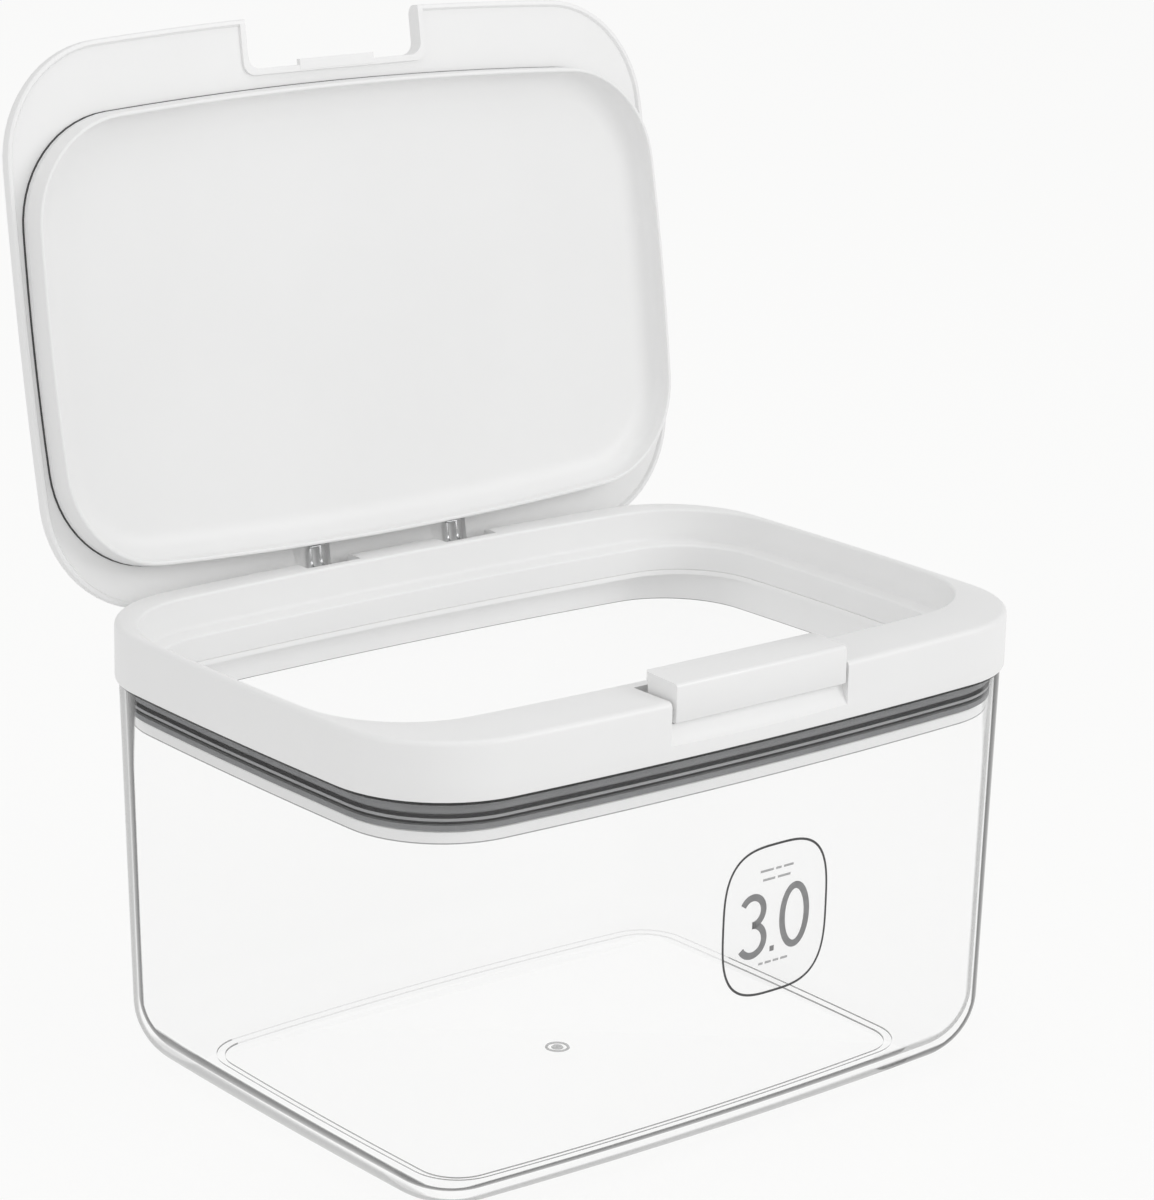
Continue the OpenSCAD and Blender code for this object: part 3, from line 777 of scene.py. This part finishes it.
# %% [markdown]
# ## The plug under the lid
# The plug is a shallow dish: a rounded outer edge, a soft rim, and a wide fillet down to
# a flat floor. All its curves run round the same outline, so it is one swept section
# closed by two caps. A pale sealing ring goes round its wall. A near-black strip in the
# groove at its root is painted shade, which draws the fine shadow line in that gap.

# %% The plug and its seal
PLUG_Z = LID_Z - 7.2
section = [(plug(0.0), MARGIN_Z), (plug(0.1), PLUG_Z + 3.0), (plug(0.25), PLUG_Z + 0.8)]
section += soft_edge(plug, 0.3, PLUG_Z + 0.45, 0.8, PLUG_Z, 5)
section += soft_edge_flat(plug, 1.0, PLUG_Z, 1.35, PLUG_Z + 0.4, 4)
for k in range(17):
    a = math.pi / 2 * k / 16
    section.append((plug(1.4 + 7.6 * (1 - math.cos(a)) ** 1.15), PLUG_Z + 1.4 + 5.6 * math.sin(a)))
liner = swept("plug_dish", section, closed=False, on_lid=True)
liner.data.materials.append(lid_white)
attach(liner, "lid")
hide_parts("lid_liner")
ring_z0, ring_z1 = MARGIN_Z - 2, MARGIN_Z - 0.8
section = [(plug(0.3), ring_z0 + 0.05), (plug(-0.05), ring_z0 + 0.2), (plug(-0.2), ring_z0 + 0.6),
           (plug(-0.05), ring_z1 - 0.2), (plug(0.3), ring_z1 - 0.05), (plug(1.0), ring_z1 - 0.05),
           (plug(1.0), ring_z0 + 0.05)]
seal = swept("lid_ring_seal", section, on_lid=True)
seal.data.materials.append(seal_rubber)
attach(seal, "lid")
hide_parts("lid_seal")
# A near-black strip in the seam at the plug's root: painted shade for the shadow line in that narrow gap.
section = [(plug(0.4), MARGIN_Z - 0.4), (plug(-0.15), MARGIN_Z - 0.4), (plug(-0.3), MARGIN_Z - 0.1),
           (plug(-0.3), MARGIN_Z + 0.8), (plug(0.4), MARGIN_Z + 0.8)]
seam_shade_strip = swept("lid_seam_painted_shade", section, on_lid=True)
seam_shade_strip.data.materials.append(painted_shade_rubber)
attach(seam_shade_strip, "lid")
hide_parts("lid_seal")
print("plug faces:", len(liner.data.polygons), "seal faces:", len(seal.data.polygons))

# %% [markdown]
# ## The latch button
# The button is an L-shaped rocker. Its section is drawn once with arcs on the edges that
# the finger meets, extruded along its width, and given a small bevel on its ends.

# %% The latch button
def arc(cx, cy, r, a0, a1, steps=5):
    return [(cx + r * math.cos(math.radians(a0 + (a1 - a0) * k / steps)),
             cy + r * math.sin(math.radians(a0 + (a1 - a0) * k / steps))) for k in range(steps + 1)]


front, rear = FRONT_Y + 0.1, BUTTON_BACK
hook = MARGIN_Z + 1.3
rock_z = BUTTON_Z + 2.6
points = [(front + 0.3, BUTTON_Z), (front, BUTTON_Z + 0.3)]
points += arc(front + 1.0, BUTTON_TOP - 1.0, 1.0, 180, 90)
points += arc(rear - 0.6, BUTTON_TOP - 0.1, 0.6, 90, 0)
points += [(rear, hook), (rear - 1.9, hook), (rear - 1.9, rock_z - 1), (rear - 3.9, BUTTON_Z)]
button = prism("rocker_button", points, -BUTTON_W / 2 - 2, BUTTON_W / 2 + 2)
half, round_r = BUTTON_W / 2, 2.2
plan = [(-half, front - 2), (half, front - 2)]
plan += arc(half - round_r, rear - round_r, round_r, 0, 90, 8)
plan += arc(-half + round_r, rear - round_r, round_r, 90, 180, 8)
trim = upright("button_plan", plan, BUTTON_Z - 2, BUTTON_TOP + 2)
fit = button.modifiers.new("fit", "BOOLEAN")
fit.operation, fit.solver, fit.object = "INTERSECT", "EXACT", trim
soft = button.modifiers.new("soft ends", "BEVEL")
soft.width, soft.segments, soft.limit_method, soft.angle_limit = 0.0004, 4, "ANGLE", math.radians(60)
bpy.context.view_layer.objects.active = button
with bpy.context.temp_override(object=button, active_object=button):
    bpy.ops.object.modifier_apply(modifier=fit.name)
    bpy.ops.object.modifier_apply(modifier=soft.name)
bpy.data.objects.remove(trim, do_unlink=True)


def rod(name, start, end, r, steps=24):
    """A round bar between two points, with a small chamfer at each end."""
    start, end = Vector(start), Vector(end)
    along = (end - start).normalized()
    across = along.orthogonal().normalized()
    other = along.cross(across)
    length = (end - start).length
    bm = bmesh.new()
    rows = []
    turns = [2 * math.pi * k / steps for k in range(steps)]
    spokes = [across * math.cos(a) + other * math.sin(a) for a in turns]
    for at, rr in ((0, r * 0.8), (r * 0.2, r), (length - r * 0.2, r), (length, r * 0.8)):
        rows.append([bm.verts.new((start + along * at + spoke * rr) * MM) for spoke in spokes])
    for a, b in zip(rows[:-1], rows[1:]):
        for k in range(steps):
            bm.faces.new((a[k], a[(k + 1) % steps], b[(k + 1) % steps], b[k]))
    bm.faces.new(rows[0])
    bm.faces.new(rows[-1])
    return finish_mesh(name, bm, 30)


rock_y = FRONT_Y + 6.5
stub = BUTTON_W / 2 + 1.1 + 1.9 - 0.3
join(button, [rod("trunnion", (s * (BUTTON_W / 2 - 0.5), rock_y, rock_z), (s * stub, rock_y, rock_z), 1.2)
              for s in (-1, 1)])
button.data.materials.append(gloss_white)
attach(button, "button")
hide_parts("latch_button")
print("button faces:", len(button.data.polygons))

# %% [markdown]
# ## Pins and springs
# The springs are real helices: a wire swept along a coil, with two legs joined by a bow
# that presses on the lid. The wire could be a curve object, but a mesh tube keeps its
# exact radius and exports as it is.

# %% Pins and springs
def tube(name, path, r, steps=12):
    bm = bmesh.new()
    rows = []
    normal = None
    for i, p in enumerate(path):
        ahead = path[min(i + 1, len(path) - 1)] - path[max(i - 1, 0)]
        along = ahead.normalized()
        if normal is None:
            normal = along.orthogonal().normalized()
        normal = (normal - along * normal.dot(along)).normalized()
        other = along.cross(normal)
        rows.append([bm.verts.new((p + (normal * math.cos(2 * math.pi * k / steps) +
                                        other * math.sin(2 * math.pi * k / steps)) * r) * MM)
                     for k in range(steps)])
    for a, b in zip(rows[:-1], rows[1:]):
        for k in range(steps):
            bm.faces.new((a[k], a[(k + 1) % steps], b[(k + 1) % steps], b[k]))
    bm.faces.new(rows[0])
    bm.faces.new(rows[-1])
    return finish_mesh(name, bm, 60)


WIRE, PIN = 0.45, 1.2
COIL = PIN + 2 * WIRE + 0.15
WIND = 1.8 * WIRE
for s, word in ((-1, "left"), (1, "right")):
    x = s * HINGE_X
    pin = rod("pin_" + word, (x - WINDOW / 2 - EAR_T, AXIS_Y, AXIS_Z),
              (x + WINDOW / 2 + EAR_T, AXIS_Y, AXIS_Z), PIN, 32)
    pin.data.materials.append(steel)
    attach(pin, "collar")
    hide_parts("hinge_pin_" + word)
    x0 = x + 0.15
    tip_y, tip_z = WINDOW_Y + 2 * WIRE, MARGIN_Z + 0.9
    path = [Vector((x0, tip_y + 0.3 + (AXIS_Y - COIL - tip_y - 0.3) * k / 5, tip_z)) for k in range(5)]
    path += [Vector((x0, AXIS_Y - COIL, tip_z - (tip_z - AXIS_Z) * (0.12 + 0.88 * k / 6))) for k in range(6)]
    turns = 4
    for k in range(turns * 20 + 1):
        a = math.pi + 2 * math.pi * k / 20
        path.append(Vector((x0 + WIND * 4 * k / (turns * 20),
                            AXIS_Y + COIL * math.cos(a), AXIS_Z + COIL * math.sin(a))))
    x1 = x0 + WIND * 4
    path += [Vector((x1, AXIS_Y - COIL, AXIS_Z + (tip_z - AXIS_Z) * (0.88 * k / 6))) for k in range(1, 7)]
    path += [Vector((x1, AXIS_Y - COIL + (tip_y + 0.3 - AXIS_Y + COIL) * k / 5, tip_z)) for k in range(1, 6)]
    path += [Vector((x1 + (x0 - x1) * k / 4, tip_y, tip_z)) for k in range(0, 5)]
    spring = tube("spring_" + word, path, WIRE)
    open_with_lid(spring)
    spring.data.materials.append(steel)
    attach(spring, "lid")
    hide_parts("hinge_spring_" + word)
print("wire per spring:", round(sum((b - a).length for a, b in zip(path[:-1], path[1:])), 1), "mm")

# %% [markdown]
# ## The front label
# A thin clear film carries a grey outline, a plain figure and two groups of short bars.
# The wall it lies on leans and bows, so each point is placed on the wall first and then
# lifted off it by a hair. The strokes are real ribbons, which stay crisp in any view.

# %% The front label
LABEL_X, LABEL_Z, LABEL_W, LABEL_H = 7.9, 60.0, 34.9, 39.6


def wall_y(x, z):
    up_the_wall = (z - FOOT) / (COLLAR_Z - FOOT)
    w0, d0 = tub_outline(FOOT, 0, 0)
    w = w0 + (BODY_W - 2 * STEP - w0) * up_the_wall
    d = d0 + (BODY_D - 2 * STEP - d0) * up_the_wall
    r = FOOT_CORNER + (CORNER - STEP - FOOT_CORNER) * up_the_wall
    cx = w / 2 - r - BOW_SHORT
    rl = (cx * cx + (r + BOW_LONG) ** 2 - r * r) / (2 * BOW_LONG)
    return -(d / 2 - rl + math.sqrt(rl * rl - x * x))


def on_wall(x, z, lift):
    return (x * MM, (wall_y(x, z) - lift) * MM, z * MM)


def squircle(w, h, power=3.2, steps=96):
    points = []
    for k in range(steps):
        a = 2 * math.pi * k / steps
        c, s = math.cos(a), math.sin(a)
        points.append((LABEL_X + w / 2 * math.copysign(abs(c) ** (2 / power), c),
                       LABEL_Z + h / 2 * math.copysign(abs(s) ** (2 / power), s)))
    return points


def ribbon(bm, path, width, closed=False, low=0.16, high=0.2):
    n = len(path)
    rows = []
    for i, (x, z) in enumerate(path):
        a = path[(i - 1) % n] if closed or i > 0 else path[i]
        b = path[(i + 1) % n] if closed or i < n - 1 else path[i]
        t = Vector((b[0] - a[0], b[1] - a[1])).normalized()
        nx, nz = -t.y * width / 2, t.x * width / 2
        rows.append([bm.verts.new(on_wall(x + nx, z + nz, low)), bm.verts.new(on_wall(x + nx, z + nz, high)),
                     bm.verts.new(on_wall(x - nx, z - nz, high)), bm.verts.new(on_wall(x - nx, z - nz, low))])
    for i in range(n if closed else n - 1):
        a, b = rows[i], rows[(i + 1) % n]
        for k in range(4):
            bm.faces.new((a[k], b[k], b[(k + 1) % 4], a[(k + 1) % 4]))
    if not closed:
        bm.faces.new(rows[0])
        bm.faces.new(rows[-1])


bm = bmesh.new()
rings = []
SHARES = (0.02, 0.35, 0.7, 1.0)
film_rings = [(share, 0.05) for share in SHARES] + [(share, 0.15) for share in SHARES[::-1]]
for share, lift in film_rings:
    shrunk = [(LABEL_X + (x - LABEL_X) * share, LABEL_Z + (z - LABEL_Z) * share)
              for x, z in squircle(LABEL_W, LABEL_H)]
    rings.append([bm.verts.new(on_wall(x, z, lift)) for x, z in shrunk])
for a, b in zip(rings[:-1], rings[1:]):
    for k in range(len(a)):
        bm.faces.new((a[k], a[(k + 1) % len(a)], b[(k + 1) % len(a)], b[k]))
bm.faces.new(rings[0])
bm.faces.new(rings[-1])
film = finish_mesh("label_film", bm, 60)
film.data.materials.append(clear_film)
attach(film, "box")
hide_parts("front_label")

bm = bmesh.new()
ribbon(bm, squircle(LABEL_W - 0.7, LABEL_H - 0.7), 0.62, closed=True)
outline_faces = len(bm.faces)


def bowl(cx, cz, rx, rz, a0, a1, steps=28):
    return [(cx + rx * math.cos(math.radians(a0 + (a1 - a0) * k / steps)),
             cz + rz * math.sin(math.radians(a0 + (a1 - a0) * k / steps))) for k in range(steps + 1)]


figure_x, figure_z, figure_h = LABEL_X, LABEL_Z - 0.6, 15.5
quarter = figure_h / 4
ribbon(bm, bowl(figure_x - 7.6, figure_z + quarter - 0.2, 3.6, quarter - 0.2, 150, -90), 1.85)
ribbon(bm, bowl(figure_x - 7.6, figure_z - quarter - 0.1, 4.0, quarter + 0.1, 90, -150), 1.85)
ribbon(bm, bowl(figure_x - 0.8, figure_z - figure_h / 2 + 0.3, 0.02, 0.7, 90, -90, 2), 1.4)
ribbon(bm, bowl(figure_x + 6.4, figure_z, 4.1, figure_h / 2, 0, 352.5, 47), 1.85, closed=True)
figure_faces = len(bm.faces)
for row, bars in ((13.0, ((-5.5, -1.2), (-0.4, 1.4), (2.2, 5.4))), (10.6, ((-4.6, -0.6), (0.3, 4.5))),
                  (-11.4, ((-5.0, -3.6), (-2.9, -0.9), (-0.2, 1.6), (2.3, 4.6)))):
    for x0, x1 in bars:
        ribbon(bm, [(LABEL_X + x0 + (x1 - x0) * k / 3, LABEL_Z + row) for k in range(4)], 0.6)
bm.faces.ensure_lookup_table()
for k, face in enumerate(bm.faces):
    face.material_index = 0 if k < outline_faces else 1 if k < figure_faces else 2
printed = finish_mesh("label_print", bm, 40)
for mat in (dark_ink, ink, pale_ink):
    printed.data.materials.append(mat)
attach(printed, "box")
print("print faces:", len(printed.data.polygons))

# %% [markdown]
# ## Floor, backdrop and light
# The object is white on white, so the light has to be soft and a little below full. Most
# of it comes from the sky. A broad lamp at the front right shapes the edges, one at the
# left and one above soften the shadows, and a weak low one reaches under the plug. The
# background is made white for the camera only, through Is Camera Ray, Is Glossy Ray and
# Is Transmission Ray, so no extra light falls on the object.

# %% Floor, backdrop and light
bpy.ops.mesh.primitive_plane_add(size=8, location=(0, 0, 0))
floor = bpy.context.object
floor.name = "floor"
mat = bpy.data.materials.new("pale floor")
mat.use_nodes = True
nodes, links = mat.node_tree.nodes, mat.node_tree.links
nodes["Principled BSDF"].inputs["Base Color"].default_value = (0.9, 0.9, 0.9, 1)
nodes["Principled BSDF"].inputs["Roughness"].default_value = 0.9
glow = nodes.new("ShaderNodeEmission")
glow.inputs["Color"].default_value = (0.985, 0.985, 0.98, 1)
path = nodes.new("ShaderNodeLightPath")
either = nodes.new("ShaderNodeMath")
either.operation = "MAXIMUM"
links.new(path.outputs["Is Camera Ray"], either.inputs[0])
links.new(path.outputs["Is Transmission Ray"], either.inputs[1])
both = nodes.new("ShaderNodeMath")
both.operation = "MAXIMUM"
links.new(either.outputs[0], both.inputs[0])
links.new(path.outputs["Is Glossy Ray"], both.inputs[1])
share = nodes.new("ShaderNodeMath")
share.operation = "MULTIPLY"
share.inputs[1].default_value = 0.9
links.new(both.outputs[0], share.inputs[0])
mix = nodes.new("ShaderNodeMixShader")
links.new(share.outputs[0], mix.inputs[0])
links.new(nodes["Principled BSDF"].outputs[0], mix.inputs[1])
links.new(glow.outputs[0], mix.inputs[2])
links.new(mix.outputs[0], nodes["Material Output"].inputs["Surface"])
floor.data.materials.append(mat)

world = bpy.data.worlds.new("studio")
world.use_nodes = True
bpy.context.scene.world = world
nodes, links = world.node_tree.nodes, world.node_tree.links
soft_light = nodes["Background"]
soft_light.inputs["Color"].default_value = (1.0, 1.0, 1.0, 1)
soft_light.inputs["Strength"].default_value = 0.67
white_back = nodes.new("ShaderNodeBackground")
white_back.inputs["Color"].default_value = (0.985, 0.985, 0.98, 1)
path = nodes.new("ShaderNodeLightPath")
either = nodes.new("ShaderNodeMath")
either.operation = "MAXIMUM"
links.new(path.outputs["Is Camera Ray"], either.inputs[0])
links.new(path.outputs["Is Transmission Ray"], either.inputs[1])
mix = nodes.new("ShaderNodeMixShader")
links.new(either.outputs[0], mix.inputs[0])
links.new(soft_light.outputs[0], mix.inputs[1])
links.new(white_back.outputs[0], mix.inputs[2])
links.new(mix.outputs[0], nodes["World Output"].inputs["Surface"])


def lamp(name, at, size, power, aim=(0, 0, 0.1)):
    data = bpy.data.lights.new(name, "AREA")
    data.shape, data.size, data.energy = "DISK", size, power
    obj = bpy.data.objects.new(name, data)
    obj.location = at
    obj.rotation_euler = (Vector(at) - Vector(aim)).to_track_quat("Z", "Y").to_euler()
    bpy.context.scene.collection.objects.link(obj)


lamp("key", (1.2, -1.7, 1.1), 1.1, 10)
lamp("left", (-1.9, -0.4, 0.8), 1.1, 3.5)
lamp("top", (0, -0.3, 2.2), 1.4, 5)
lamp("low", (0.1, -2.0, 0.35), 0.9, 1.5)
bpy.context.scene.view_settings.view_transform = "Standard"
